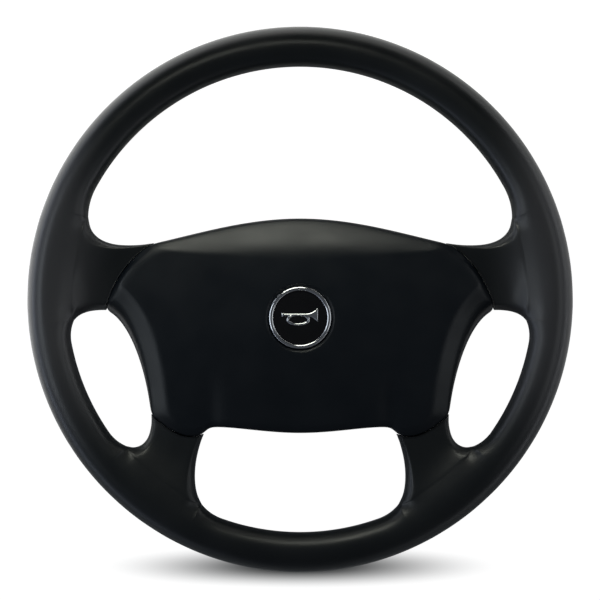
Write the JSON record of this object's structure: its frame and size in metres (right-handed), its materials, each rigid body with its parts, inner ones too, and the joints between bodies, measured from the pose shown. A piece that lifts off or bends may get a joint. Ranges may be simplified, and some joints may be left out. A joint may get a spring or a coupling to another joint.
{
  "type": "steering wheel",
  "caption": "Four-spoke steering wheel with a thick moulded rim, a cast armature and a floating horn pad on springs.",
  "frame": {"origin": "centre of the hub bore at its rear mouth, on the steering axis", "axes": "+Z along the steering axis towards the driver, +Y to the top of the rim, +X to the driver's right"},
  "size_m": [0.45, 0.45, 0.092],
  "materials": {
    "grip_urethane": "fine grained moulded urethane, black",
    "pad_plastic": "grained moulded plastic, black",
    "cover_plastic": "grained moulded plastic, black",
    "badge_black": "polished black",
    "badge_chrome": "polished chrome",
    "cast_metal": "die cast, matt",
    "steel": "zinc plated steel",
    "spring_steel": "spring wire",
    "brass": "stamped brass",
    "nylon": "natural nylon",
    "wire_red": "insulated lead"
  },
  "bodies": {
    "wheel": {"grip": "grip_urethane", "armature": "cast_metal", "hub_boss": "steel", "rear_cover": "cover_plastic", "cover_screws": "steel", "slip_ring_carrier": "cover_plastic", "slip_ring": "brass", "slip_ring_screws": "steel", "horn_wire": "wire_red", "contact_base": "nylon", "fixed_contact": "brass", "guide_screws": "steel", "horn_spring_1": "spring_steel", "horn_spring_2": "spring_steel", "horn_spring_3": "spring_steel", "horn_spring_4": "spring_steel"},
    "pad": {"pad_frame": "steel", "moving_contact": "brass", "contact_rivets": "steel", "pad_screws": "steel", "horn_pad": "pad_plastic", "badge_disc": "badge_black", "badge_ring": "badge_chrome", "guide_bush_1": "nylon", "guide_bush_2": "nylon", "guide_bush_3": "nylon", "guide_bush_4": "nylon"}
  },
  "joints": [
    {"name": "horn_press", "type": "slide", "parent": "wheel", "child": "pad", "axis": [0, 0, 1], "range_m": [-0.0025, 0], "stiffness_N_per_m": 10000, "springref_m": 0.002, "deforming": ["horn_spring_1", "horn_spring_2", "horn_spring_3", "horn_spring_4"]}
  ]
}
